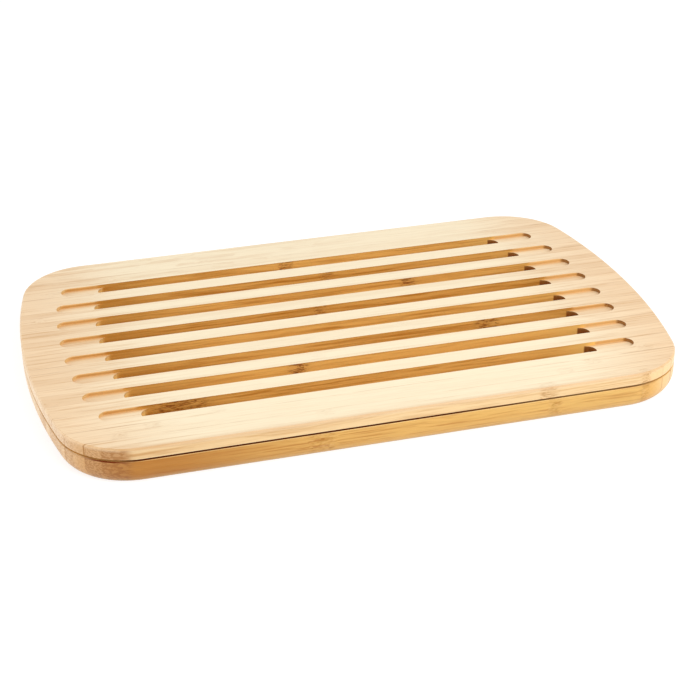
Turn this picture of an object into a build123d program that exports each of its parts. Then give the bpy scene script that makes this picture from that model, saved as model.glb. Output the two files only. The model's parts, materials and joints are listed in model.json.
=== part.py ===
from build123d import *
import os
from math import ceil, sqrt

# Bread board with a crumb catcher: a slotted bamboo board that lifts off a bamboo crumb tray.
# Lengths are in millimetres. X runs along the slots, Y towards the back and Z up.
# The origin is on the table, under the middle of the board.

# Outline that both boards share: long sides straight, corners round, and both short ends bowed
# as parts of one ellipse, which by itself would reach this far from the middle in Y
board_length = 400.0
board_depth = 255.5
end_bow_reach = 305.0
corner_radius = 44.0

# Slotted board. The low bevel under its edge leaves a dark gap above the tray, for the fingers to find.
grid_edge_height = 8.2
under_bevel_height = 1.3
under_bevel_depth = 3.5
tongue_depth = 4.5
top_edge_break = 0.9
tongue_edge_break = 0.8

# Slots: a shallow groove with round ends, and a shorter slot of the same width right through it
slot_count = 8
slot_pitch = 24.65
slot_width = 12.0
groove_depth = 2.3
groove_end_margin = 23.4
outer_groove_setback = 2.0
landing_length = 24.5

# Staves that each board is glued up from, on edge and running along X
staves_per_pitch = 3.5

# Crumb tray
tray_height = 14.6
tray_floor = 4.8
tray_rim_width = 18.0
tray_top_edge_break = 0.3
cavity_floor_break = 2.5
under_edge_height = 9.0
under_edge_depth = 4.4

# Fit of the slotted board's tongue in the tray, and the overrun of every cut
tongue_clearance = 0.75
overrun = 5.0

# Heights and places worked out from the sizes above
parting_height = tray_height
top_height = parting_height + grid_edge_height
under_round = (under_edge_height**2 + under_edge_depth**2) / (2 * under_edge_depth)
under_cut_off = under_round - under_edge_height
slot_rows = [(slot_count - 1) * slot_pitch / 2 - row * slot_pitch for row in range(slot_count)]
slotted_depth = slot_rows[0] + slot_width / 2
stave_width = slot_pitch / staves_per_pitch
field_stave_count = 2 * ceil(slotted_depth / stave_width - 1 / 2) + 1
field_depth = field_stave_count * stave_width


def board_outline(inset=0.0):
    """The outline of both boards, or the same outline drawn in by an inset."""
    with BuildSketch() as outline:
        Rectangle(board_length - 2 * inset, board_depth - 2 * inset)
        Ellipse(board_length / 2 - inset, end_bow_reach - inset, mode=Mode.INTERSECT)
        fillet(outline.vertices(), corner_radius - inset)
    return outline.sketch


def groove_half_length(row):
    """From the middle of the board to a groove's tip. The first and last grooves stop shorter."""
    end_of_board = board_length / 2 * sqrt(1 - (slot_rows[row] / end_bow_reach) ** 2)
    setback = outer_groove_setback if row in (0, slot_count - 1) else 0.0
    return end_of_board - groove_end_margin - setback


def slot_pattern(shortening=0.0):
    """All slots as one sketch, each with round ends, shortened by an amount at both ends."""
    with BuildSketch() as slots:
        for row, y in enumerate(slot_rows):
            with Locations((0, y)):
                SlotOverall(2 * (groove_half_length(row) - shortening), slot_width)
    return slots.sketch


def make_grid_board():
    """The slotted board before it is told apart into staves."""
    with BuildPart() as grid:
        with BuildSketch(Plane.XY.offset(parting_height)):
            add(board_outline())
        extrude(amount=grid_edge_height)
        chamfer(grid.edges().group_by(Axis.Z)[-1], top_edge_break)
        under_face = grid.faces().sort_by(Axis.Z)[0]
        chamfer(under_face.edges(), under_bevel_depth, under_bevel_height, reference=under_face)
        with BuildSketch(Plane.XY.offset(parting_height)):
            add(board_outline(tray_rim_width + tongue_clearance))
        extrude(amount=-tongue_depth)
        chamfer(grid.edges().group_by(Axis.Z)[0], tongue_edge_break)
        with BuildSketch(Plane.XY.offset(top_height)):
            add(slot_pattern())
        extrude(amount=-groove_depth, mode=Mode.SUBTRACT)
        with BuildSketch(Plane.XY.offset(top_height)):
            add(slot_pattern(landing_length))
        extrude(amount=-(grid_edge_height + tongue_depth), mode=Mode.SUBTRACT)
    return grid.part


def make_tray():
    """The crumb tray before it is told apart into staves."""
    with BuildPart() as tray:
        with BuildSketch(Plane.XY.offset(-under_cut_off)):
            add(board_outline())
        extrude(amount=tray_height + under_cut_off)
        chamfer(tray.edges().group_by(Axis.Z)[-1], tray_top_edge_break)
        fillet(tray.edges().group_by(Axis.Z)[0], under_round)
        split(bisect_by=Plane.XY, keep=Keep.TOP)
        with BuildSketch(Plane.XY.offset(tray_height)):
            add(board_outline(tray_rim_width))
        extrude(amount=-(tray_height - tray_floor), mode=Mode.SUBTRACT)
        cavity_floor = tray.faces().filter_by(Plane.XY).group_by(Axis.Z)[1]
        chamfer(cavity_floor.edges(), cavity_floor_break)
    return tray.part


def cut_stave(board, name, front, back):
    """The piece of a board between two glue seams, written under its own name."""
    height = top_height + 2 * overrun
    with BuildPart() as stave:
        add(board)
        with BuildSketch(Plane.XY.offset(-overrun)):
            with Locations((0, (front + back) / 2)):
                Rectangle(board_length + 2 * overrun, back - front)
        extrude(amount=height, mode=Mode.INTERSECT)
    stave.part.label = name
    export_step(stave.part, f"parts/{name}.step")


def glue_up(board, name):
    """Rails at the back and the front, which no slot reaches, and the staves of the field between."""
    cut_stave(board, f"{name}_back_rail", field_depth / 2, board_depth / 2 + overrun)
    for number in range(field_stave_count):
        back = field_depth / 2 - number * stave_width
        cut_stave(board, f"{name}_stave_{number + 1:02d}", back - stave_width, back)
    cut_stave(board, f"{name}_front_rail", -board_depth / 2 - overrun, -field_depth / 2)


os.makedirs("parts", exist_ok=True)
glue_up(make_grid_board(), "grid")
glue_up(make_tray(), "tray")
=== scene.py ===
import json
from math import cos, radians, sin

import bpy
from bpy.props import FloatProperty, FloatVectorProperty, PointerProperty
from mathutils import Matrix, Vector


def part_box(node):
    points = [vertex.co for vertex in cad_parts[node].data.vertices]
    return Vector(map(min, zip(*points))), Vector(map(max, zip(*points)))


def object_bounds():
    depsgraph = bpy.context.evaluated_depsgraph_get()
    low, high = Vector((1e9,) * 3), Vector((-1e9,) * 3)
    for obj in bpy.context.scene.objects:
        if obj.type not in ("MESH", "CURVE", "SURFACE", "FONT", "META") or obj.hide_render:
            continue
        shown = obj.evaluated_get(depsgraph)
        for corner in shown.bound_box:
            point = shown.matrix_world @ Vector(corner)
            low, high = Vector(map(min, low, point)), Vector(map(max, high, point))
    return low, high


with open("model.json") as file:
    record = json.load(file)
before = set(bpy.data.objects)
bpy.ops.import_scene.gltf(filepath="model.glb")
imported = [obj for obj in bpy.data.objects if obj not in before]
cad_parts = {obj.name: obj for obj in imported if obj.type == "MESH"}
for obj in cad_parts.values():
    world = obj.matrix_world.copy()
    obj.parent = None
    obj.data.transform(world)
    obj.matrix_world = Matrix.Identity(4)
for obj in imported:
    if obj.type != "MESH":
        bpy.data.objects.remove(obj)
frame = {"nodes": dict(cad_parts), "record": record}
cad_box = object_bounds()

bl_info = {
    "name": "Bread board with crumb tray",
    "version": (1, 0, 0),
    "blender": (4, 5, 0),
    "location": "View3D > Sidebar > Bread board",
    "description": "Dresses the slotted bamboo board and its crumb tray, and sets them on a pale stage",
    "category": "Object",
}

# Width of the camera's sensor in millimetres, across a square picture
SENSOR_WIDTH = 36.0

# In metres along X, the slots' round ends lie nearer to the middle than this, and the boards' ends past it
SLOTS_REACH = 0.183

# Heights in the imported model, in metres: where the boards meet, and the floor of the grooves
JOINT = 0.0146
GROOVE_FLOOR = 0.0205

# The slots in metres: half their width, how many strips there are from one slot to the next, and how far from
# the middle the longest of them opens right through
HALF_SLOT = 0.006
STRIPS_PER_SLOT = 3.5
THROUGH_REACH = 0.1521

# Outline of both boards: the reach of the ellipse whose parts the bowed ends are, and the round corners
END_BOW_REACH = 0.305
CORNER_RADIUS = 0.044

# The record's bodies, by board
GRID = "grid"
TRAY = "tray"

# The values below say where each look starts and ends, and how strong it is. Where there are two, it changes
# from nothing to its full strength between them, and where there are four, from the third to the fourth
# between the first two. Those named MIDDLE_TO_END are its strengths in the boards' middle and at their ends.
# Places are in metres, along X from the middle to the right, along Y from the middle to the back, and up Z
# from the table.

# Narrow edges of the strips, which are the boards' top faces
NEAR_ENDS = (0.085, 0.185)
FAR_ENDS = (0.11, 0.20)
FAR_END_SHARE = 0.85
TAN_RARITY = 1.6
TAN_MIDDLE_TO_END = (0.14, 0.34)
EDGE_STREAKS = (0.48, 0.72)
STREAKS_MIDDLE_TO_END = (0.14, 0.54)
TANNER_RIGHT = (0.12, 0.19, 0.0, 0.14)
TANNER_FRONT = (-0.05, -0.10)
TANNER_LIP = (-0.1232, -0.1272, 0.0, 0.36)
PATCHES = (0.48, 0.62)
PATCHES_LEFT = (0.08, -0.10, 0.3, 1.0)

# Broad sides of the strips, which are the boards' long sides and the slots' walls
SIDE_FLAMES = (0.42, 0.64, 0.0, 0.36)
SIDE_STREAKS = (0.45, 0.66)
LEAN_LEFT = (-0.03, -0.14)
GLOW_RIGHT = (0.03, 0.12)
TOP_LINE = (GROOVE_FLOOR + 0.0010, GROOVE_FLOOR + 0.0022, 0.0, 0.45)
# painted shade: the through slots' walls darker deeper down, more so towards their ends
DEEP_SHADE_DOWN = (GROOVE_FLOOR, 0.014)
DEEP_SHADE_ENDS = (0.04, 0.14, 0.0, 0.5)
DARK_LEFT = (-0.085, -0.145, 0.0, 0.42)
PALE_RIGHT = (0.105, 0.145)

# Low walls of the grooves past the through slots, with a dark line along them, and the floor beside them with
# painted shade next to the wall at its back
LANDING_BLEND = 0.003
LOW_LINE = (GROOVE_FLOOR + 0.0022, GROOVE_FLOOR + 0.0012)
LOW_LINE_FOOT = (GROOVE_FLOOR + 0.0001, GROOVE_FLOOR + 0.0008, 0.5, 1.0)
LOW_LINE_ALONG = (-0.1, 0.1, 0.6, 0.42)
LOW_WALL_GRAIN = 0.3
WALL_SHADE_FLOOR = (0.0035, 0.0002, 0.0, 0.75)
WALL_SHADE_TOP = GROOVE_FLOOR + 0.0002
WALL_SHADE_DARK = 0.35

# Cuts across the strips: the boards' ends, their round corners and the slots' round ends
END_DOTS = (0.47, 0.62, 0.0, 0.7)
END_TONE = 0.2
KNOWN_END_TONE = 0.7
SLANT_DOTS = (0.44, 0.56, -0.26, 0.2)
SLANT_RIGHT = (0.12, 0.17)
SLANT_RIGHT_MOTTLE = 0.25
BELOW_GROOVE = (GROOVE_FLOOR, GROOVE_FLOOR - 0.002)
# painted light and shade on the slots' round ends: how far the lit left ends pale and the shaded right ends
# darken below the grooves' floor
LEFT_END_LIGHT = 0.8
RIGHT_END_SHADE = 0.65
SLOT_END_DOTS = 0.2

# Which way a face looks, as squares of its normal: how upright it is, and how far it is turned to the ends
UPRIGHT = (0.15, 0.85)
LEAST_UPRIGHT = 0.001
CORNER_TURN = (0.02, 0.35)
FRONT_CORNER_TURN = (0.004, 0.06)
SLOT_END_TURN = (0.001, 0.02)
DULL_TURN = (0.02, 0.2)
END_TURN = (0.55, 0.99)
END_FRONT = (-0.095, -0.05, 0.7, 1.0)

# The tray's tint, and the painted light and shade on the slotted board's top edge
TINT_TURN = (0.02, 0.4)
TINT_HELD_BACK = 0.75
TOP_EDGE_LIGHT_RIM = 0.006
TOP_EDGE_LIGHT_HEIGHT = (0.0200, 0.0226, 0.0, 0.6)
CHAMFER_SHADE_RIM = 0.003
CHAMFER_SHADE = 2.0

# Knuckles and seams
MARK_SHARE = 0.66
NEAR_SHARE = 0.2
LIGHT_SHARE = 0.4
EDGE_MARKS = 0.06
FRONT_EDGE_MARKS = 0.3
SEAM_RARITY = 1.8
SEAMS_MIDDLE_TO_END = (0.25, 0.65)
SLANT_SEAMS = 2.6
GLUE_MIDDLE_TO_END = (0.45, 1.0)

# The painted shade along the joint, in place of the shadow in the gap between the boards: how thin a skin of
# the tray's rim it lies in, where it moves out to the rim's edge, and where it fades
JOINT_SHADE_SKIN = 0.0001
ROUND_CORNERS = (0.148, 0.166)
JOINT_SHADE_RIGHT = (0.02, 0.12, 1.0, 0.6)
JOINT_SHADE_RIGHT_CORNER = (0.150, 0.171, 1.0, 0.0)
JOINT_SHADE_LEFT_CORNER = (-0.184, -0.170, 0.15, 1.0)

# Fine shading, gloss and relief
FINE_SHADE = (0.35, 0.7, 1.0, 0.94)
COAT = 0.25
SLOT_COAT = 0.08
COAT_ROUGHNESS = 0.3
SPECULAR_LEVEL = 0.3
ROUGHNESS = (0.3, 0.8, 0.44, 0.60)
FIBRE_HEIGHT = 0.5
SEAM_DEPTH = 0.6
BUMP_STRENGTH = 0.18
BUMP_DISTANCE = 0.0004

# How wide the middle of a seam's line is, as a share of the seam, and how its stretches of glue show
SEAM_MIDDLE = 0.2
GLUE_SHOWS = (0.42, 0.64, 0.1, 1.0)

# Which curls of the grain round a knuckle are dark marks and which are light, and how near to it they start
MARK_CURLS = (0.50, 0.60)
LIGHT_CURLS = (0.47, 0.36)
MARK_REACH = (0.1, 0.6)

# How often each pattern of the grain repeats in a metre, along X, Y and Z
CURLS = (130.0, 940.0, 940.0)
SWIRLS = (110.0, 110.0, 110.0)
STREAKS = (24.0, 760.0, 760.0)
FINE_FIBRES = (60.0, 1800.0, 1800.0)
DOTS = (40.0, 1100.0, 1100.0)
WAVES = (16.0, 60.0, 60.0)
FLAMES = (7.0, 200.0, 480.0)

# How often the glue's stretches change in a metre along a seam, and how far off the next seam's are from them
GLUE_ALONG = 30.0
GLUE_APART = 3.7

# How far the grain is moved, in metres: from strip to strip, at most beside a knuckle, and by its own waves
STRIP_APART = 0.113
SWIRL_REACH = 0.008
WAVE_REACH = 0.010

# What sets one chance draw apart from another with the same seed
OTHER_DRAW = 0.37
SEAM_DRAW = 7.77
KNUCKLE_DRAW = 3.3

# Whole numbers this near to each other are the same, and a knuckle this many times its reach away isn't seen
SAME = 0.1
FAR_OFF = 9.0

# Steps that find the round corners' middle
HALVINGS = 40

# The table, in metres from the middle to its edge, and how bright it is to the eye, a touch over plain white
TABLE_REACH = 6.0
TABLE_WHITE = 1.005


def linear(red, green, blue):
    """A colour written as 0 to 255 on screen, as the linear values that Blender keeps."""
    shares = [value / 255 for value in (red, green, blue)]
    return tuple(s / 12.92 if s <= 0.04045 else ((s + 0.055) / 1.055) ** 2.4 for s in shares)


def stave_width():
    """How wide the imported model's middle stave is. All staves are as wide."""
    low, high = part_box("grid_stave_14")
    return high.y - low.y


def colour(name, description, value):
    return FloatVectorProperty(
        name=name, description=description, subtype="COLOR", size=3, min=0, max=1, default=value
    )


def length(name, description, value):
    return FloatProperty(
        name=name, description=description, subtype="DISTANCE", unit="LENGTH", min=0, default=value
    )


def share(name, description, value):
    return FloatProperty(name=name, description=description, subtype="FACTOR", min=0, max=1, default=value)


def coordinate(name, description, value):
    return FloatProperty(name=name, description=description, subtype="DISTANCE", unit="LENGTH", default=value)


def angle(name, description, degrees):
    return FloatProperty(
        name=name, description=description, subtype="ANGLE", unit="ROTATION", default=radians(degrees)
    )


def lamp_power(name, description, value):
    return FloatProperty(name=name, description=description, unit="POWER", min=0, default=value)


class BambooSettings(bpy.types.PropertyGroup):
    """Colours and sizes of the glued bamboo that both boards are made of."""

    edge: colour("Strip edge", "Top faces, where the strips show their narrow side", linear(249, 232, 198))
    edge_tan: colour(
        "Tan strip edge", "The darkest of the strips seen from their narrow side", linear(208, 160, 104)
    )
    edge_ends: colour("Board ends", "What the top faces turn to towards both ends", linear(240, 206, 164))
    side: colour("Long side", "Outer long sides, where a strip shows its broad side", linear(240, 206, 154))
    side_dark: colour("Long side streaks", "Streaks on the outer long sides", linear(192, 134, 66))
    side_lean: colour(
        "Long side, darker end", "What the front strips darken to along the boards", linear(190, 132, 52)
    )
    wall: colour("Slot wall", "Walls of the slots, as the cutter left them", linear(246, 192, 104))
    wall_dark: colour("Slot wall streaks", "Streaks on the walls of the slots", linear(190, 122, 34))
    end: colour("End grain", "Ends of the strips", linear(252, 229, 196))
    end_dark: colour("End grain bundles", "The fibre bundles in the end grain", linear(218, 176, 130))
    slant: colour("Slanting cut", "Round corners, cut at a slant to the fibres", linear(222, 176, 122))
    slant_dark: colour("Dark slanting cut", "The darkest strips in the round corners", linear(176, 122, 66))
    slant_pale: colour("Pale slanting cut", "Round corners on the right", linear(250, 214, 158))
    landing_wall: colour("Landing wall", "Low walls at both ends of the grooves", linear(244, 203, 140))
    # painted light: the left round ends of the slots, which face the light
    slot_start_lit: colour(
        "Slot start", "Round ends of the slots where the cutter went in, on the left", linear(228, 188, 126)
    )
    slot_pale: colour("Pale slot wall", "Right ends of some slots' walls", linear(255, 206, 116))
    # painted shade: the right round ends of the slots, which face away from the light
    slot_end: colour(
        "Slot end", "Round ends of the slots where the cutter came to rest, on the right",
        linear(156, 108, 52),
    )
    knuckle: colour("Knuckle", "The marks where a bamboo stem was closed inside", linear(130, 62, 0))
    knuckle_pale: colour("Pale knuckle", "The same marks on the outer long sides", linear(166, 108, 30))
    seam: colour("Glue seam", "The line of glue between two strips", linear(190, 146, 98))
    seam_width: length("Seam width", "How wide a glue seam shows", 0.0005)
    knuckle_spacing: length("Knuckle spacing", "From one knuckle to the next along a strip", 0.27)
    knuckle_reach: length("Knuckle reach", "How far the grain bends on each side of a knuckle", 0.008)
    # painted shade: the tray's outer rim darkened where the slotted board closes on it, in place of the
    # shadow in the gap
    joint_shade: colour(
        "Joint", "The outer rim of the tray, stained where the slotted board closes on it", linear(112, 44, 0)
    )
    joint_shade_start: length("Joint start", "From the outline to the stain", 0.0003)
    joint_shade_width: length("Joint width", "How wide the stain on the rim is", 0.0021)
    joint_shade_corner: length(
        "Joint at the corners", "How far the stain reaches in and down at the round corners", 0.0007
    )
    tray_tint: colour("Tray tint", "What the tray's bamboo is tinted with", linear(240, 219, 160))


class StageSettings(bpy.types.PropertyGroup):
    """Where the camera stands, and the light and the floor around the boards."""

    azimuth: angle("Azimuth", "Turn of the camera about the boards, from straight in front", -15.713)
    elevation: angle("Elevation", "Height of the camera above the table, as an angle", 27.307)
    roll: angle("Roll", "Tilt of the camera about its own line of sight", -0.493)
    distance: length("Distance", "From the camera to the point that it looks at", 1.0135)
    aim_x: coordinate("Aim X", "Point on the top face that the camera looks at", -0.00585)
    aim_y: coordinate("Aim Y", "Point on the top face that the camera looks at", -0.04429)
    lens: FloatProperty(
        name="Lens", description="Focal length", subtype="DISTANCE_CAMERA", unit="CAMERA", min=1,
        default=84.77,
    )
    floor: colour("Floor", "Colour of the table", (0.9, 0.9, 0.9))
    floor_seen: share(
        "Floor seen", "How much of the table's own shading the eye sees, on top of plain white", 0.4
    )
    sky: FloatProperty(
        name="Sky", description="Strength of the even light from all round", min=0, default=0.70
    )
    lamp_size: length("Lamp size", "Side of each soft lamp", 0.8)
    lamp_distance: length("Lamp distance", "From each soft lamp to the boards", 1.25)
    key: lamp_power("Key", "Power of the large soft lamp", 8.1)
    key_azimuth: angle(
        "Key azimuth", "Turn of the large soft lamp about the boards, from straight in front", 30
    )
    key_elevation: angle("Key elevation", "Height of the large soft lamp above the table, as an angle", 45)
    fill: lamp_power("Fill", "Power of the low lamp on the left", 4.2)
    fill_azimuth: angle("Fill azimuth", "Turn of the low lamp about the boards, from straight in front", -95)
    fill_elevation: angle("Fill elevation", "Height of the low lamp above the table, as an angle", 14)


class Wiring:
    """Puts shader nodes into one tree and joins them up."""

    def __init__(self, tree):
        self.tree = tree

    def put(self, kind, **settings):
        node = self.tree.nodes.new(kind)
        for name, value in settings.items():
            setattr(node, name, value)
        return node

    def feed(self, socket, value):
        if isinstance(value, bpy.types.NodeSocket):
            self.tree.links.new(value, socket)
        else:
            socket.default_value = value

    def calc(self, operation, *values):
        """One step of arithmetic on numbers."""
        node = self.put("ShaderNodeMath", operation=operation)
        for socket, value in zip(node.inputs, values):
            self.feed(socket, value)
        return node.outputs["Value"]

    def stretch(self, vector, scale):
        """A place with each of its axes scaled by its own amount."""
        node = self.put("ShaderNodeVectorMath", operation="MULTIPLY")
        self.feed(node.inputs[0], vector)
        self.feed(node.inputs[1], scale)
        return node.outputs["Vector"]

    def split(self, vector):
        node = self.put("ShaderNodeSeparateXYZ")
        self.feed(node.inputs["Vector"], vector)
        return node.outputs["X"], node.outputs["Y"], node.outputs["Z"]

    def join(self, x, y, z):
        node = self.put("ShaderNodeCombineXYZ")
        for socket, value in zip(node.inputs, (x, y, z)):
            self.feed(socket, value)
        return node.outputs["Vector"]

    def span(self, value, low, high, to_low=0.0, to_high=1.0, smooth=True):
        """A value between two limits, spread over two others."""
        node = self.put("ShaderNodeMapRange", interpolation_type="SMOOTHSTEP" if smooth else "LINEAR")
        for name, item in (("Value", value), ("From Min", low), ("From Max", high),
                           ("To Min", to_low), ("To Max", to_high)):
            self.feed(node.inputs[name], item)
        return node.outputs["Result"]

    def noise(self, vector, detail=2.0, roughness=0.5, distortion=0.0):
        """Even noise from 0 to 1 that repeats about once in a unit of the vector."""
        node = self.put("ShaderNodeTexNoise")
        for name, item in (("Vector", vector), ("Scale", 1.0), ("Detail", detail),
                           ("Roughness", roughness), ("Distortion", distortion)):
            self.feed(node.inputs[name], item)
        return node.outputs["Fac"]

    def chance(self, number):
        """A number from 0 to 1 that stays the same for the same input."""
        node = self.put("ShaderNodeTexWhiteNoise", noise_dimensions="1D")
        self.feed(node.inputs["W"], number)
        return node.outputs["Value"]

    def mix(self, amount, first, second, blend="MIX"):
        """Mixes two colours, each a socket or a tuple of red, green and blue."""
        node = self.put("ShaderNodeMix", data_type="RGBA", blend_type=blend)
        self.feed(node.inputs[0], amount)
        for socket, value in ((node.inputs[6], first), (node.inputs[7], second)):
            self.feed(socket, (*value, 1.0) if isinstance(value, tuple) else value)
        return node.outputs[2]

    def group(self, tree, **inputs):
        """Places a node group, with its inputs by name and underscores for spaces."""
        node = self.put("ShaderNodeGroup", node_tree=tree)
        for name, value in inputs.items():
            self.feed(node.inputs[name.replace("_", " ")], value)
        return node.outputs


NUMBER = "NodeSocketFloat"
PLACE = "NodeSocketVector"


def new_group(name, inputs, outputs):
    """An empty shader node group with its wiring and its two end nodes. All that it puts out are numbers."""
    tree = bpy.data.node_groups.new(name, "ShaderNodeTree")
    for label, kind, default in inputs:
        socket = tree.interface.new_socket(label, in_out="INPUT", socket_type=kind)
        if default is not None:
            socket.default_value = default
    for label in outputs:
        tree.interface.new_socket(label, in_out="OUTPUT", socket_type=NUMBER)
    wiring = Wiring(tree)
    return wiring, wiring.put("NodeGroupInput").outputs, wiring.put("NodeGroupOutput").inputs


def faces_group():
    """How much a surface shows the strips' ends, broad sides or narrow edges."""
    names = ("End", "Side", "Edge")
    w, _, out = new_group("strip_faces", [], names)
    normal = w.put("ShaderNodeTexCoord").outputs["Normal"]
    for name, axis in zip(names, w.split(normal)):
        w.feed(out[name], w.calc("MULTIPLY", axis, axis))
    return w.tree


def staves_group():
    """Which strip a place is in, how toned that strip is, and where the glue seams run."""
    w, given, out = new_group(
        "glued_strips",
        [("Place", PLACE, None), ("Strip Width", NUMBER, 0.007), ("Shift", NUMBER, 0.0),
         ("Seam Width", NUMBER, 0.0005), ("Seed", NUMBER, 0.0)],
        ["Strip", "Tone", "Other Tone", "Seam Number", "Seam Chance", "Seam Line"],
    )
    x, y, _ = w.split(given["Place"])
    count = w.calc("DIVIDE", w.calc("ADD", y, given["Shift"]), given["Strip Width"])
    strip = w.calc("FLOOR", w.calc("ADD", count, 0.5))
    w.feed(out["Strip"], strip)
    w.feed(out["Tone"], w.chance(w.calc("ADD", strip, given["Seed"])))
    w.feed(out["Other Tone"], w.chance(w.calc("ADD", strip, w.calc("ADD", given["Seed"], OTHER_DRAW))))
    # the nearest seam, its own number, and how far off it is
    seam = w.calc("FLOOR", count)
    w.feed(out["Seam Number"], seam)
    w.feed(out["Seam Chance"], w.chance(w.calc("ADD", seam, w.calc("ADD", given["Seed"], SEAM_DRAW))))
    off = w.calc("ABSOLUTE", w.calc("SUBTRACT", w.calc("SUBTRACT", count, seam), 0.5))
    off = w.calc("MULTIPLY", off, given["Strip Width"])
    middle = w.calc("MULTIPLY", given["Seam Width"], SEAM_MIDDLE)
    line = w.calc("SUBTRACT", 1.0, w.span(off, middle, given["Seam Width"]))
    # the glue shows in stretches
    along = w.calc("MULTIPLY", x, GLUE_ALONG)
    patchy = w.noise(w.join(along, w.calc("MULTIPLY", seam, GLUE_APART), given["Seed"]))
    w.feed(out["Seam Line"], w.calc("MULTIPLY", line, w.span(patchy, *GLUE_SHOWS)))
    return w.tree


def knuckles_group():
    """How near a place is to its strip's knuckle, where the stem was closed inside, and the marks there."""
    w, given, out = new_group(
        "knuckles",
        [("Place", PLACE, None), ("Strip", NUMBER, 0.0), ("Spacing", NUMBER, 0.27), ("Reach", NUMBER, 0.007),
         ("Known", NUMBER, 0.0), ("Known Distance", NUMBER, FAR_OFF), ("Seed", NUMBER, 0.0)],
        ["Near", "Marks", "Lights"],
    )
    x, _, _ = w.split(given["Place"])
    start = w.calc("MULTIPLY", w.chance(w.calc("ADD", given["Strip"], given["Seed"])), given["Spacing"])
    turns = w.calc("DIVIDE", w.calc("SUBTRACT", x, start), given["Spacing"])
    off = w.calc("ABSOLUTE", w.calc("SUBTRACT", turns, w.calc("ROUND", turns)))
    off = w.calc("DIVIDE", w.calc("MULTIPLY", off, given["Spacing"]), given["Reach"])
    off = w.calc("MULTIPLY_ADD", given["Known"], w.calc("SUBTRACT", given["Known Distance"], off), off)
    near = w.calc("SUBTRACT", 1.0, w.span(off, 0.0, 1.0))
    w.feed(out["Near"], near)
    # short wavy streaks that lie along the fibres
    curl = w.noise(w.stretch(given["Place"], CURLS), roughness=0.6, distortion=1.3)
    beside = w.span(near, *MARK_REACH)
    w.feed(out["Marks"], w.calc("MULTIPLY", w.span(curl, *MARK_CURLS), beside))
    w.feed(out["Lights"], w.calc("MULTIPLY", w.span(curl, *LIGHT_CURLS), beside))
    return w.tree


def fibres_group():
    """Streaks along the strips, fine fibres, wide flames and the dots of fibre bundles in the end grain."""
    w, given, out = new_group(
        "fibres",
        [("Place", PLACE, None), ("Strip", NUMBER, 0.0), ("Near Knuckle", NUMBER, 0.0)],
        ["Streaks", "Fine", "Flames", "Dots"],
    )
    x, y, z = w.split(given["Place"])
    # each strip has grain of its own, and it swirls beside a knuckle
    apart = w.calc("MULTIPLY", given["Strip"], STRIP_APART)
    swirl = w.noise(w.stretch(given["Place"], SWIRLS), roughness=0.6)
    reach = w.calc("MULTIPLY", given["Near Knuckle"], SWIRL_REACH)
    swirl = w.calc("MULTIPLY", w.calc("SUBTRACT", swirl, 0.5), reach)
    y = w.calc("ADD", y, swirl)
    z = w.calc("ADD", w.calc("ADD", z, swirl), apart)
    lie = w.join(x, y, z)
    w.feed(out["Streaks"], w.noise(w.stretch(lie, STREAKS), detail=3.0, roughness=0.62))
    w.feed(out["Fine"], w.noise(w.stretch(lie, FINE_FIBRES), roughness=0.7))
    w.feed(out["Dots"], w.noise(w.stretch(lie, DOTS), detail=1.0))
    wave = w.noise(w.stretch(lie, WAVES))
    z = w.calc("ADD", z, w.calc("MULTIPLY", w.calc("SUBTRACT", wave, 0.5), WAVE_REACH))
    w.feed(out["Flames"], w.noise(w.stretch(w.join(x, y, z), FLAMES), detail=3.0, roughness=0.6))
    return w.tree


def corner_middle(half_length, half_depth):
    """Middle of the round corner between a straight long side and a bowed end, found by halving."""
    low, high = 0.0, radians(90)
    for _ in range(HALVINGS):
        turn = (low + high) / 2
        out_x, out_y = cos(turn) / half_length, sin(turn) / END_BOW_REACH
        reach = CORNER_RADIUS / (out_x**2 + out_y**2) ** 0.5
        x, y = half_length * cos(turn) - reach * out_x, END_BOW_REACH * sin(turn) - reach * out_y
        low, high = (turn, high) if y < half_depth - CORNER_RADIUS else (low, turn)
    return x, y


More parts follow.
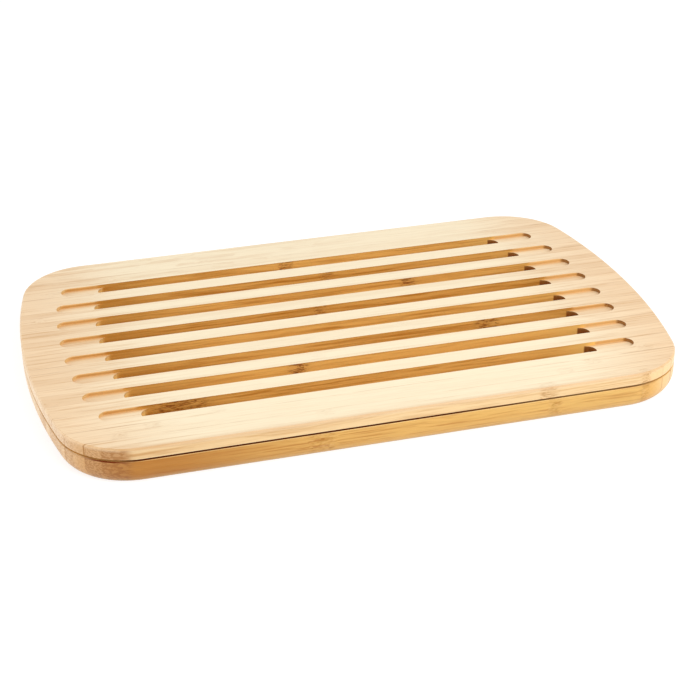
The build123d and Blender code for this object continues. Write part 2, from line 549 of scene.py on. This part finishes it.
class Bamboo(Wiring):
    """Wires up the bamboo of one kind of piece, with what the photograph shows of its single strips."""

    def __init__(self, tree, settings, kind, strips, tray, seed):
        super().__init__(tree)
        self.settings, self.strips, self.tray = settings, strips, tray
        self.front = kind == "front_rail"
        self.slotted = kind == "stave" and not tray
        self.plain, self.dark = ("wall", "wall_dark") if self.slotted else ("side", "side_dark")
        self.strip_width = stave_width()
        place = self.put("ShaderNodeTexCoord").outputs["Object"]
        self.x, self.y, self.z = self.split(place)
        self.off_middle = self.calc("ABSOLUTE", self.x)
        self.ends = self.span(self.off_middle, *NEAR_ENDS)
        self.face = self.group(grain_group("strip_faces"))
        # how upright a face is, and how far it is turned from the strips' sides towards their ends
        upright = self.calc("ADD", self.face["Side"], self.face["End"])
        self.upright = self.calc("MAXIMUM", upright, LEAST_UPRIGHT)
        self.turned = self.calc("DIVIDE", self.face["End"], self.upright)
        self.glued = self.group(
            grain_group("glued_strips"), Place=place, Strip_Width=self.strip_width, Shift=strips["shift"],
            Seam_Width=settings.seam_width, Seed=seed,
        )
        known, nearest = self.known_knuckle()
        self.knuckle = self.group(
            grain_group("knuckles"), Place=place, Strip=self.glued["Strip"], Spacing=settings.knuckle_spacing,
            Reach=settings.knuckle_reach, Known=known, Known_Distance=nearest, Seed=seed + KNUCKLE_DRAW,
        )
        self.grain = self.group(
            grain_group("fibres"), Place=place, Strip=self.glued["Strip"], Near_Knuckle=self.knuckle["Near"]
        )

    def mix(self, amount, first, second, blend="MIX"):
        """Mixes two colours. A name stands for that colour of the settings."""
        return super().mix(amount, self.dye(first), self.dye(second), blend)

    def dye(self, item):
        """A colour of the settings by its name, or the colour itself."""
        return tuple(getattr(self.settings, item)) if isinstance(item, str) else item

    def times(self, *values):
        """The product of several numbers."""
        product = values[0]
        for value in values[1:]:
            product = self.calc("MULTIPLY", product, value)
        return product

    def known(self, count, look):
        """What the table says of a strip or seam by its number, and nought for one that isn't in it."""
        total = 0.0
        for number, value in self.strips[look].items():
            here = self.calc("COMPARE", self.glued[count], float(number), SAME)
            total = self.calc("MULTIPLY_ADD", here, value, total)
        return total

    def known_knuckle(self):
        """Whether a strip's knuckles are known, and how many times its reach the nearest is away."""
        known, nearest = 0.0, FAR_OFF
        for number, along, reach in self.strips["knuckles"]:
            here = self.calc("COMPARE", self.glued["Strip"], float(number), SAME)
            known = self.calc("MAXIMUM", here, known)
            off = self.calc("DIVIDE", self.calc("ABSOLUTE", self.calc("SUBTRACT", self.x, along)), reach)
            off = self.calc("MULTIPLY_ADD", self.calc("SUBTRACT", 1.0, here), FAR_OFF, off)
            nearest = self.calc("MINIMUM", off, nearest)
        return known, nearest

    def rim(self, width):
        """1 within a width of the boards' outline, seen from above, and 0 further in."""
        half_length, half_depth = cad_box[1].x, cad_box[1].y
        deep = self.calc("ABSOLUTE", self.y)
        side = self.calc("GREATER_THAN", deep, half_depth - width)
        along = self.calc("POWER", self.calc("DIVIDE", self.off_middle, half_length - width), 2.0)
        across = self.calc("POWER", self.calc("DIVIDE", deep, END_BOW_REACH - width), 2.0)
        straight = self.calc("MAXIMUM", side, self.calc("GREATER_THAN", self.calc("ADD", along, across), 1.0))
        middle_x, middle_y = corner_middle(half_length, half_depth)
        past_x = self.calc("SUBTRACT", self.off_middle, middle_x)
        past_y = self.calc("SUBTRACT", deep, middle_y)
        away = self.calc("ADD", self.calc("POWER", past_x, 2.0), self.calc("POWER", past_y, 2.0))
        corner = self.calc("GREATER_THAN", away, (CORNER_RADIUS - width) ** 2)
        corner = self.times(corner, self.calc("GREATER_THAN", self.calc("MINIMUM", past_x, past_y), 0.0))
        return self.calc("MAXIMUM", straight, corner)

    def narrow_edges(self):
        """Narrow edges: pale and nearly plain in the middle, tanner and streaky towards both ends."""
        tan = self.calc("POWER", self.glued["Tone"], TAN_RARITY)
        tan = self.times(tan, self.span(self.ends, 0.0, 1.0, *TAN_MIDDLE_TO_END))
        streaks = self.span(self.grain["Streaks"], *EDGE_STREAKS)
        streaks = self.times(streaks, self.span(self.ends, 0.0, 1.0, *STREAKS_MIDDLE_TO_END))
        edge = self.mix(self.times(self.span(self.off_middle, *FAR_ENDS), FAR_END_SHARE), "edge", "edge_ends")
        edge = self.mix(self.calc("ADD", tan, streaks), edge, "edge_tan")
        # tanner towards the right front, and on the slotted board's front rail along its front lip
        tanner = self.times(self.span(self.x, *TANNER_RIGHT), self.span(self.y, *TANNER_FRONT))
        if self.front and not self.tray:
            tanner = self.calc("MAXIMUM", tanner, self.span(self.y, *TANNER_LIP))
        edge = self.mix(tanner, edge, "edge_tan")
        if self.strips["patches"]:
            patches = self.times(self.span(self.grain["Flames"], *PATCHES), self.span(self.x, *PATCHES_LEFT))
            edge = self.mix(self.times(patches, self.strips["patches"]), edge, "edge_tan")
        return edge

    def broad_sides(self):
        """Broad sides: golden, with flames and streaks. Gives their colour, and how dark the grain is."""
        streaks = self.span(self.grain["Streaks"], *SIDE_STREAKS, 0.0, self.strips["streaks"])
        grain = self.calc("ADD", self.span(self.grain["Flames"], *SIDE_FLAMES), streaks)
        grain = self.calc("ADD", grain, self.known("Strip", "tones"))
        side = self.mix(grain, self.plain, self.dark)
        if self.front:
            side = self.mix(self.span(self.x, *LEAN_LEFT, 0.0, self.strips["lean"]), side, "side_lean")
            side = self.mix(self.span(self.x, *GLOW_RIGHT, 0.0, self.strips["glow"]), side, "edge")
        return side, grain

    def slot_walls(self, side, grain):
        """Walls of the slots, and past the through slots the low walls of the grooves."""
        # painted shade deep in the through slots, and a dark line along the top of the walls
        deep = self.times(self.span(self.z, *DEEP_SHADE_DOWN), self.span(self.off_middle, *DEEP_SHADE_ENDS))
        side = self.mix(self.calc("MAXIMUM", self.span(self.z, *TOP_LINE), deep), side, self.dark)
        side = self.mix(self.span(self.x, *DARK_LEFT), side, self.dark)
        pale = self.times(self.known("Strip", "pales"), self.span(self.x, *PALE_RIGHT))
        side = self.mix(pale, side, "slot_pale")
        line = self.times(self.span(self.z, *LOW_LINE), self.span(self.x, *LOW_LINE_ALONG))
        line = self.times(line, self.span(self.z, *LOW_LINE_FOOT))
        low_wall = self.mix(self.calc("MULTIPLY_ADD", grain, LOW_WALL_GRAIN, line), "landing_wall", self.dark)
        # the through slots' ends follow the bow of the boards' ends
        bow = cad_box[1].x / (2 * END_BOW_REACH**2)
        bowed = self.calc("MULTIPLY_ADD", self.times(self.y, self.y), bow, self.off_middle)
        return self.mix(self.span(bowed, THROUGH_REACH - LANDING_BLEND, THROUGH_REACH), side, low_wall)

    def shaded_groove_floors(self, edge):
        """Floors of the grooves, with painted shade beside the wall at their back."""
        pitch = STRIPS_PER_SLOT * self.strip_width
        row = self.calc("DIVIDE", self.calc("SUBTRACT", self.y, HALF_SLOT), pitch)
        off_wall = self.calc("SUBTRACT", 1.0, self.calc("FRACT", self.calc("ADD", row, 0.5)))
        # painted shade on the floor next to the wall at its back
        wall_shade = self.span(self.times(off_wall, pitch), *WALL_SHADE_FLOOR)
        wall_shade = self.times(wall_shade, self.calc("LESS_THAN", self.z, WALL_SHADE_TOP))
        return self.mix(wall_shade, edge, self.mix(WALL_SHADE_DARK, "landing_wall", self.dark))

    def cut_faces(self):
        """Cuts across the fibres, slanting ones and straight ones, with the fibre bundles as dots."""
        tone, end_tone = self.glued["Other Tone"], self.times(self.glued["Other Tone"], END_TONE)
        if self.strips["slants"]:
            tone = self.known("Strip", "slants")
            end_tone = self.calc("MULTIPLY_ADD", tone, KNOWN_END_TONE, end_tone)
        dots = self.calc("ADD", self.span(self.grain["Dots"], *END_DOTS), end_tone)
        end = self.mix(dots, "end", "end_dark")
        mottled = self.calc("ADD", self.span(self.grain["Dots"], *SLANT_DOTS), tone)
        right = self.mix(self.times(mottled, SLANT_RIGHT_MOTTLE), "slant_pale", "slant")
        slant = self.mix(self.span(self.x, *SLANT_RIGHT), self.mix(mottled, "slant", "slant_dark"), right)
        if self.slotted:
            inside = self.calc("LESS_THAN", self.off_middle, SLOTS_REACH)
            turn = self.lit_and_shaded_slot_ends(dots)
            slant, end = self.mix(inside, slant, turn), self.mix(inside, end, turn)
        return slant, end

    def lit_and_shaded_slot_ends(self, dots):
        """Round ends of the slots, with painted light and shade: pale on the left, which face the light, and
        brown on the right, which face away from it, both changing further below the grooves' floor.
        """
        below = self.span(self.z, *BELOW_GROOVE)
        start = self.mix(self.times(below, LEFT_END_LIGHT), "slot_start_lit", "slot_pale")
        right_end_shade = self.mix(self.times(below, RIGHT_END_SHADE), "slot_end", "knuckle")
        turn = self.mix(self.calc("GREATER_THAN", self.x, 0.0), start, right_end_shade)
        return self.mix(self.times(dots, SLOT_END_DOTS), turn, "knuckle")

    def in_through_slot(self):
        """1 on the walls of the through slots, below the floor of the grooves."""
        inside = self.calc("LESS_THAN", self.off_middle, SLOTS_REACH)
        return self.times(inside, self.calc("LESS_THAN", self.z, GROOVE_FLOOR))

    def upright_faces(self, side, slant, end):
        """Puts broad sides, slanting cuts and straight cuts together, by the way that a face looks."""
        bend = self.span(self.turned, *(FRONT_CORNER_TURN if self.front else CORNER_TURN))
        if self.slotted:
            # the right ends of the through slots start at once
            right = self.times(self.in_through_slot(), self.calc("GREATER_THAN", self.x, 0.0))
            bend = self.calc("MAXIMUM", bend, self.times(right, self.span(self.turned, *SLOT_END_TURN)))
        endwise = self.times(self.span(self.turned, *END_TURN), self.span(self.y, *END_FRONT))
        return self.mix(endwise, self.mix(bend, side, slant), end)

    def tinted(self, skin):
        """The tray's bamboo is yellower than the board's, least so where it is cut across."""
        held_back = self.times(self.span(self.turned, *TINT_TURN), self.upright, TINT_HELD_BACK)
        return self.mix(self.calc("SUBTRACT", 1.0, held_back), skin, "tray_tint", "MULTIPLY")

    def top_edge_light_and_shade(self, skin, edge):
        """Painted light and shade on the board's top edge: the top's pale colour reaches a little way down
        its side, as light over a rounded edge, and painted shade on the chamfer takes its bright line away.
        """
        # painted light: the side paler just under the top edge
        reach = self.times(self.rim(TOP_EDGE_LIGHT_RIM), self.span(self.z, *TOP_EDGE_LIGHT_HEIGHT), self.upright)
        skin = self.mix(reach, skin, edge)
        # painted shade on the chamfer, against its highlight
        chamfer_shade = self.times(self.face["Edge"], self.face["Side"], CHAMFER_SHADE, self.rim(CHAMFER_SHADE_RIM))
        return self.mix(chamfer_shade, skin, "edge_tan")

    def knuckle_marks(self, skin):
        """Draws the knuckles on. Gives the colour, and where the dark marks are."""
        marks = self.times(self.knuckle["Marks"], MARK_SHARE)
        marks = self.calc("ADD", marks, self.times(self.knuckle["Near"], NEAR_SHARE))
        on_edge = self.times(self.face["Edge"], FRONT_EDGE_MARKS if self.front else EDGE_MARKS)
        marks = self.times(marks, self.strips["marking"], self.calc("MAXIMUM", on_edge, self.face["Side"]))
        lights = self.times(self.knuckle["Lights"], self.face["Side"], LIGHT_SHARE * self.strips["marking"])
        skin = self.mix(lights, skin, self.plain)
        return self.mix(marks, skin, "knuckle" if self.slotted else "knuckle_pale"), marks

    def glue_seams(self):
        """How clearly the glue shows."""
        seams = self.calc("POWER", self.glued["Seam Chance"], SEAM_RARITY)
        seams = self.times(seams, self.span(self.ends, 0.0, 1.0, *SEAMS_MIDDLE_TO_END))
        seams = self.calc("MAXIMUM", seams, self.known("Seam Number", "seams"))
        seams = self.calc("MAXIMUM", seams, self.times(self.face["End"], self.face["Side"], SLANT_SEAMS))
        return self.times(seams, self.glued["Seam Line"], self.span(self.ends, 0.0, 1.0, *GLUE_MIDDLE_TO_END))

    def painted_joint_shade(self):
        """How much painted shade darkens the tray's outer rim where the slotted board closes on it, in place
        of the shadow in the gap.
        """
        start, reach = self.settings.joint_shade_start, self.settings.joint_shade_corner
        # a little way in along the sides, and on the rim's very edge round the corners
        inner = self.calc("SUBTRACT", self.rim(start + self.settings.joint_shade_width), self.rim(start))
        inner = self.times(inner, self.calc("GREATER_THAN", self.z, JOINT - JOINT_SHADE_SKIN))
        outer = self.times(self.rim(reach), self.calc("GREATER_THAN", self.z, JOINT - reach))
        corner = self.span(self.off_middle, *ROUND_CORNERS)
        painted_shade = self.calc("MULTIPLY_ADD", corner, self.calc("SUBTRACT", outer, inner), inner)
        for fade in (JOINT_SHADE_RIGHT, JOINT_SHADE_RIGHT_CORNER, JOINT_SHADE_LEFT_CORNER):
            painted_shade = self.times(painted_shade, self.span(self.x, *fade))
        return painted_shade

    def wire_up(self, shader):
        """Feeds a shader with the bamboo's colour, gloss and relief."""
        edge = self.narrow_edges()
        side, grain = self.broad_sides()
        if self.slotted:
            side, edge = self.slot_walls(side, grain), self.shaded_groove_floors(edge)
        skin = self.mix(self.span(self.upright, *UPRIGHT), edge, self.upright_faces(side, *self.cut_faces()))
        skin = self.tinted(skin) if self.tray else self.top_edge_light_and_shade(skin, edge)
        fine = self.span(self.grain["Fine"], *FINE_SHADE)
        skin = self.mix(1.0, skin, self.join(fine, fine, fine), "MULTIPLY")
        skin, dull = self.knuckle_marks(skin)
        seams = self.glue_seams()
        skin = self.mix(seams, skin, self.mix(self.upright, "seam", "knuckle_pale"))
        coat = COAT
        if self.tray:
            # painted shade along the joint, in place of the shadow in the gap, also without gloss
            painted_shade = self.painted_joint_shade()
            skin, dull = self.mix(painted_shade, skin, "joint_shade"), self.calc("MAXIMUM", dull, painted_shade)
        if self.slotted:
            coat = self.span(self.face["Edge"], 0.0, 1.0, SLOT_COAT, COAT)
            # no gloss in the round ends of the through slots
            slot_end = self.times(self.in_through_slot(), self.span(self.turned, *DULL_TURN))
            dull = self.calc("MAXIMUM", dull, slot_end)
        self.feed(shader.inputs["Base Color"], skin)
        self.feed(shader.inputs["Coat Weight"], self.times(coat, self.calc("SUBTRACT", 1.0, dull)))
        rough = self.span(self.grain["Streaks"], *ROUGHNESS)
        self.feed(shader.inputs["Roughness"], self.calc("MAXIMUM", rough, dull))
        shader.inputs["Specular IOR Level"].default_value = SPECULAR_LEVEL
        shader.inputs["Coat Roughness"].default_value = COAT_ROUGHNESS
        self.relief(shader, seams)

    def relief(self, shader, seams):
        """A faint relief of fibres, with the seams a little sunk."""
        height = self.times(self.calc("ADD", self.grain["Fine"], self.grain["Streaks"]), FIBRE_HEIGHT)
        height = self.calc("SUBTRACT", height, self.times(seams, SEAM_DEPTH))
        bump = self.put("ShaderNodeBump")
        bump.inputs["Strength"].default_value = BUMP_STRENGTH
        bump.inputs["Distance"].default_value = BUMP_DISTANCE
        self.feed(bump.inputs["Height"], height)
        self.feed(shader.inputs["Normal"], bump.outputs["Normal"])


GRAIN_GROUPS = {
    "strip_faces": faces_group,
    "glued_strips": staves_group,
    "knuckles": knuckles_group,
    "fibres": fibres_group,
}


def grain_group(name):
    """One of the groups that every bamboo material shares, made when it is first asked for."""
    return bpy.data.node_groups.get(name) or GRAIN_GROUPS[name]()


# What the photograph shows of single strips, by the kind of piece that they are in. Strips and seams are
# counted from the middle of the board towards the back. What a kind doesn't name is as here.
PLAIN_STRIPS = {
    "shift": 0.0,  # how far a rail's seams are moved from the field's, in metres
    "lean": 0.0,  # how much the long side darkens to the left
    "glow": 0.0,  # how much the long side pales to the right
    "patches": 0.0,  # how tan the patches on the narrow edges are
    "streaks": 0.5,  # how dark the streaks on the broad sides are
    "slants": {},  # how dark a strip is where it is cut across. Left to chance if no strip is named
    "pales": {},  # how much a slot's wall pales at its right end
    "seams": {},  # how clearly a seam shows
    "tones": {},  # how dark a strip's broad side is
    "knuckles": [],  # strip, place along X and reach
    "marking": 0.5,  # how dark the knuckles' marks are
}
GRID_STRIPS = {
    "stave": {
        **PLAIN_STRIPS,
        "pales": {-11: 0.95, -8: 0.55, -1: 0.25, 13: 0.45},
        "seams": {-12: 0.7, -8: 0.6, -4: 0.5, -3: 0.7, 8: 0.6},
        "tones": {-11: 0.1, -8: -0.25, -4: 0.1, -1: -0.05, 3: 0.28, 6: -0.04, 10: 0.16},
        # strip -1 has none in sight, so its own lies past the board's end
        "knuckles": [(13, -0.0118, 0.008), (10, 0.0108, 0.007), (6, 0.061, 0.008), (3, -0.0069, 0.006),
                     (-1, 0.6, 0.007), (-4, 0.0907, 0.014), (-8, -0.0404, 0.010), (-11, -0.118, 0.026)],
        "marking": 1.0,
    },
    "back_rail": {**PLAIN_STRIPS, "shift": -0.0017, "patches": 0.28, "seams": {14: 1.0}},
    "front_rail": {
        **PLAIN_STRIPS,
        "shift": -0.002,
        "lean": 0.04,
        "streaks": 0.34,
        "slants": {-18: 0.82, -17: 0.45, -16: 0.05, -15: 0.3, -14: 0.1},
        "seams": {-18: 0.5, -17: 0.9, -15: 0.9},
        "knuckles": [(-18, 0.094, 0.009), (-18, 0.157, 0.005)],
        "marking": 0.68,
    },
}
TRAY_STRIPS = {
    "stave": {
        **PLAIN_STRIPS,
        "slants": {-13: 0.6, -12: 0.5, -11: 0.6, -9: 0.9, -8: 0.7, -6: 0.2, -3: 0.15,
                   2: 0.1, 5: 0.3, 9: 0.4, 12: 0.3},
        "marking": 0.8,
    },
    "back_rail": {**PLAIN_STRIPS, "shift": -0.0017},
    "front_rail": {
        **PLAIN_STRIPS,
        "shift": -0.002,
        "lean": 0.86,
        "glow": 0.18,
        "streaks": 0.66,
        "slants": {-18: 0.88, -17: 0.7, -16: 0.1, -15: 0.5, -14: 0.2},
        "seams": {-18: 0.6, -17: 0.9, -15: 0.9},
        "tones": {-18: -0.2},
        "knuckles": [(-18, 0.098, 0.006), (-18, 0.157, 0.004), (-18, -0.045, 0.012)],
        "marking": 0.65,
    },
}

# What sets each board's chance draws apart from the other's
GRID_SEED = 11.0
TRAY_SEED = 47.0


def dress(body, kinds, seed):
    """Gives every piece of a board its bamboo."""
    settings = bpy.context.scene.bread_board_bamboo
    looks = {}
    for kind, strips in kinds.items():
        material = looks[kind] = bpy.data.materials.new(f"bamboo_{body}_{kind}")
        material.use_nodes = True
        bamboo = Bamboo(material.node_tree, settings, kind, strips, body == TRAY, seed)
        bamboo.wire_up(material.node_tree.nodes["Principled BSDF"])
    for node in frame["record"]["behaviour"]["bodies"][body]:
        kind = node.removeprefix(f"{body}_") if node.endswith("rail") else "stave"
        for slot in frame["nodes"][node].material_slots:
            slot.material = looks[kind]


class BREADBOARD_OT_slotted_board(bpy.types.Operator):
    """Give the slotted board's staves and rails their bamboo"""

    bl_idname = "breadboard.slotted_board"
    bl_label = "Slotted board"

    def execute(self, context):
        dress(GRID, GRID_STRIPS, GRID_SEED)
        return {"FINISHED"}


class BREADBOARD_OT_crumb_tray(bpy.types.Operator):
    """Give the crumb tray's staves and rails their bamboo"""

    bl_idname = "breadboard.crumb_tray"
    bl_label = "Crumb tray"

    def execute(self, context):
        dress(TRAY, TRAY_STRIPS, TRAY_SEED)
        return {"FINISHED"}


def seen_by_eye(w):
    """Whether a surface is seen by the camera or in a reflection, and doesn't only light something."""
    path = w.put("ShaderNodeLightPath").outputs
    return w.calc("MINIMUM", w.calc("ADD", path["Is Camera Ray"], path["Is Glossy Ray"]), 1.0)


def floor_piece(settings):
    """A wide pale table. The eye sees it as white, with a faint shadow."""
    mesh = bpy.data.meshes.new("table_top")
    half = TABLE_REACH
    corners = [(-half, -half, 0), (half, -half, 0), (half, half, 0), (-half, half, 0)]
    mesh.from_pydata(corners, [], [(0, 1, 2, 3)])
    floor = bpy.data.objects.new("table_top", mesh)
    bpy.context.scene.collection.objects.link(floor)
    material = bpy.data.materials.new("pale_table")
    material.use_nodes = True
    w = Wiring(material.node_tree)
    shader = material.node_tree.nodes["Principled BSDF"]
    seen = seen_by_eye(w)
    dimmed = tuple(settings.floor_seen * value for value in settings.floor)
    w.feed(shader.inputs["Base Color"], w.mix(seen, tuple(settings.floor), dimmed))
    shader.inputs["Roughness"].default_value = 1.0
    shader.inputs["Specular IOR Level"].default_value = 0.0
    shader.inputs["Emission Color"].default_value = (1, 1, 1, 1)
    # far from the lamps, where only the sky lights it, the table is just white
    glow = TABLE_WHITE - settings.sky * dimmed[0]
    w.feed(shader.inputs["Emission Strength"], w.calc("MULTIPLY", seen, glow))
    mesh.materials.append(material)


def sky_light(settings):
    """Even light from all round, which the eye sees as plain white."""
    world = bpy.data.worlds.new("studio")
    world.use_nodes = True
    bpy.context.scene.world = world
    w = Wiring(world.node_tree)
    shade = world.node_tree.nodes["Background"]
    shade.inputs["Color"].default_value = (1, 1, 1, 1)
    w.feed(shade.inputs["Strength"], w.span(seen_by_eye(w), 0.0, 1.0, settings.sky, 1.0, smooth=False))


def aim_at(thing, place, target, roll=0.0):
    """Stands a lamp or camera at a place, looking at a target."""
    turn = (target - place).to_track_quat("-Z", "Y").to_matrix().to_4x4()
    thing.matrix_world = Matrix.Translation(place) @ turn @ Matrix.Rotation(roll, 4, "Z")


def direction(azimuth, elevation):
    """From the boards towards a lamp or camera. Azimuth 0 is straight in front."""
    return Vector((sin(azimuth) * cos(elevation), -cos(azimuth) * cos(elevation), sin(elevation)))


def soft_lamp(name, power, size, place):
    """A square lamp that looks at the middle of the boards."""
    light = bpy.data.lights.new(name, "AREA")
    light.shape = "SQUARE"
    light.size = size
    light.energy = power
    lamp = bpy.data.objects.new(name, light)
    bpy.context.scene.collection.objects.link(lamp)
    aim_at(lamp, place, Vector((0, 0, 0)))


def camera(settings):
    """The photograph's camera."""
    lens = bpy.data.cameras.new("photograph_view")
    lens.sensor_width = SENSOR_WIDTH
    lens.lens = settings.lens
    lens.clip_start = 0.01
    view = bpy.data.objects.new("photograph_view", lens)
    bpy.context.scene.collection.objects.link(view)
    target = Vector((settings.aim_x, settings.aim_y, cad_box[1].z))
    place = target + direction(settings.azimuth, settings.elevation) * settings.distance
    aim_at(view, place, target, settings.roll)
    bpy.context.scene.camera = view


class BREADBOARD_OT_stage(bpy.types.Operator):
    """Set the boards on a pale table, with two soft lamps and the photograph's camera"""

    bl_idname = "breadboard.stage"
    bl_label = "Stage"

    def execute(self, context):
        settings = context.scene.bread_board_stage
        context.scene.view_settings.view_transform = "Standard"
        floor_piece(settings)
        sky_light(settings)
        for name in ("key", "fill"):
            azimuth, elevation = getattr(settings, name + "_azimuth"), getattr(settings, name + "_elevation")
            place = direction(azimuth, elevation) * settings.lamp_distance
            soft_lamp(name, getattr(settings, name), settings.lamp_size, place)
        camera(settings)
        return {"FINISHED"}


class BREADBOARD_PT_panel(bpy.types.Panel):
    """The board's operators and settings, in the sidebar"""

    bl_label = "Bread board"
    bl_idname = "BREADBOARD_PT_panel"
    bl_space_type = "VIEW_3D"
    bl_region_type = "UI"
    bl_category = "Bread board"

    def draw(self, context):
        for operator in OPERATORS:
            self.layout.operator(operator.bl_idname)
        for settings in (context.scene.bread_board_bamboo, context.scene.bread_board_stage):
            box = self.layout.box()
            for name in settings.bl_rna.properties.keys():
                if name not in ("rna_type", "name"):
                    box.prop(settings, name)


OPERATORS = (BREADBOARD_OT_slotted_board, BREADBOARD_OT_crumb_tray, BREADBOARD_OT_stage)
CLASSES = (BambooSettings, StageSettings, *OPERATORS, BREADBOARD_PT_panel)


def register():
    for item in CLASSES:
        bpy.utils.register_class(item)
    bpy.types.Scene.bread_board_bamboo = PointerProperty(type=BambooSettings)
    bpy.types.Scene.bread_board_stage = PointerProperty(type=StageSettings)


def unregister():
    del bpy.types.Scene.bread_board_stage
    del bpy.types.Scene.bread_board_bamboo
    for item in reversed(CLASSES):
        bpy.utils.unregister_class(item)


def main():
    register()
    bpy.ops.breadboard.slotted_board()
    bpy.ops.breadboard.crumb_tray()
    bpy.ops.breadboard.stage()


if __name__ == "__main__":
    main()
